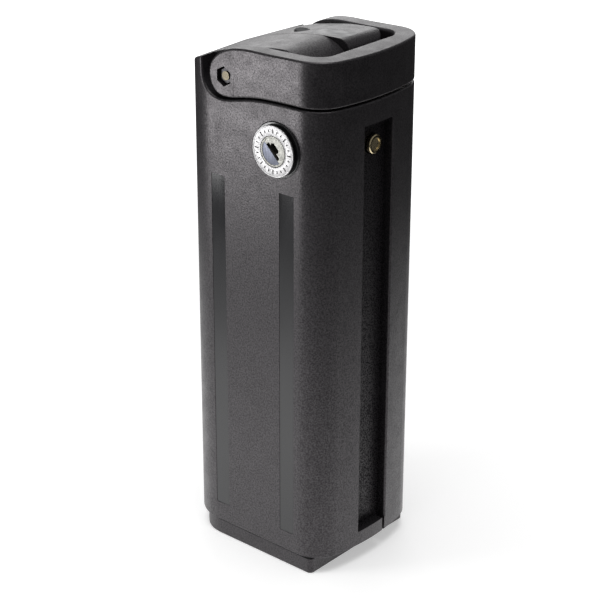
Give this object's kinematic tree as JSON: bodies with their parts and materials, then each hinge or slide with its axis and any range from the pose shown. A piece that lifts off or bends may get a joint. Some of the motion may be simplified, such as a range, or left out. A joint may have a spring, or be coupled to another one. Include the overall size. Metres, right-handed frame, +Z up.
{
  "type": "bicycle battery pack",
  "caption": "Upright removable battery case with bowed front, locating channel, key lock that drives a bolt, swinging bail handle, charge gauge and capped charging port.",
  "frame": {"origin": "centre of the case's footprint, on its underside", "axes": "+Z up along the case, +X to the bowed front face with the locating channel, -Y to the broad face with the lock"},
  "size_m": [0.11, 0.0914, 0.3076],
  "materials": {
    "case_plastic": "fine spark-eroded texture, satin",
    "handle_plastic": "fine spark-eroded texture, satin",
    "base_plastic": "satin",
    "gloss_strip": "smooth, glossy",
    "gloss_black": "smooth, glossy",
    "rubber": "matte",
    "button_rubber": "matte",
    "flap_rubber": "matte",
    "black_screw": "black oxide",
    "black_metal": "black, satin",
    "zinc_steel": "zinc plated",
    "chrome": "satin chrome with fine turning marks",
    "plug_metal": "satin chrome",
    "brass": "turned, lightly tarnished",
    "nickel": "nickel plated",
    "holder_plastic": "natural moulded",
    "cell_wrap": "heat-shrink wrapped can",
    "fibre_sheet": "pressed fibre",
    "foam": "open foam",
    "circuit_board": "solder mask",
    "aluminium": "anodised",
    "fuse_body": "translucent amber",
    "lead_sleeve": "silicone sleeve",
    "smoked_lens": "smoked, polished",
    "light_pipe": "clear moulded"
  },
  "bodies": {
    "pack": {"base_cap": "base_plastic", "base_gasket": "rubber", "base_screws": "black_screw", "blade_fuse": "fuse_body", "board_components": "gloss_black", "board_standoffs": "holder_plastic", "bolt_guide": "holder_plastic", "cell_row_01": "cell_wrap", "cell_row_02": "cell_wrap", "cell_row_03": "cell_wrap", "cell_row_04": "cell_wrap", "cell_row_05": "cell_wrap", "cell_row_06": "cell_wrap", "cell_row_07": "cell_wrap", "cell_row_08": "cell_wrap", "cell_row_09": "cell_wrap", "cell_row_10": "cell_wrap", "charge_contacts": "brass", "charge_socket": "gloss_black", "charge_socket_nut": "zinc_steel", "discharge_blades": "nickel", "discharge_socket": "base_plastic", "far_cell_holder": "holder_plastic", "far_half_shell": "case_plastic", "far_nickel_straps": "nickel", "far_trim_strips": "gloss_strip", "flap_hinge_wire": "zinc_steel", "foam_pads": "foam", "fuse_holder": "holder_plastic", "gauge_board": "circuit_board", "gauge_lens": "smoked_lens", "gauge_light_pipes": "light_pipe", "gauge_switch": "gloss_black", "guide_screws": "zinc_steel", "heat_sink": "aluminium", "insulation_sheets": "fibre_sheet", "lock_barrel": "black_metal", "lock_bezel": "gloss_black", "lock_face_ring": "chrome", "lock_nut": "zinc_steel", "management_board": "circuit_board", "near_cell_holder": "holder_plastic", "near_half_shell": "case_plastic", "near_nickel_straps": "nickel", "near_trim_strips": "gloss_strip", "pivot_nuts": "black_metal", "pivot_sleeves": "brass", "pivot_studs": "brass", "power_leads": "lead_sleeve", "power_transistors": "gloss_black", "shell_screws": "black_screw", "shell_seal": "rubber"},
    "handle": {"handle": "handle_plastic"},
    "key": {"key_plug": "plug_metal", "key_cam": "zinc_steel"},
    "bolt": {"lock_bolt": "brass", "bolt_carrier": "zinc_steel", "carrier_pin": "zinc_steel"},
    "button": {"gauge_button": "button_rubber"},
    "flap": {"charge_flap": "flap_rubber"}
  },
  "joints": [
    {"name": "handle_swing", "type": "hinge", "parent": "pack", "child": "handle", "pos_m": [-0.0185, 0, 0.2877], "axis": [0, -1, 0], "range_deg": [0, 90]},
    {"name": "key_turn", "type": "hinge", "parent": "pack", "child": "key", "pos_m": [0.0195, -0.03, 0.2546], "axis": [0, -1, 0], "range_deg": [0, 90]},
    {"name": "bolt_slide", "type": "slide", "parent": "pack", "child": "bolt", "axis": [-1, 0, 0], "range_m": [0, 0.00906]},
    {"name": "button_press", "type": "slide", "parent": "pack", "child": "button", "axis": [0, 0, -1], "range_m": [0, 0.0008], "stiffness_N_per_m": 600},
    {"name": "flap_swing", "type": "hinge", "parent": "pack", "child": "flap", "pos_m": [-0.014, 0.0432, 0.244], "axis": [-1, 0, 0], "range_deg": [0, 110]}
  ],
  "couplings": [
    {"joint": "bolt_slide", "follows": "key_turn", "m_per_rad": 0.005763}
  ]
}
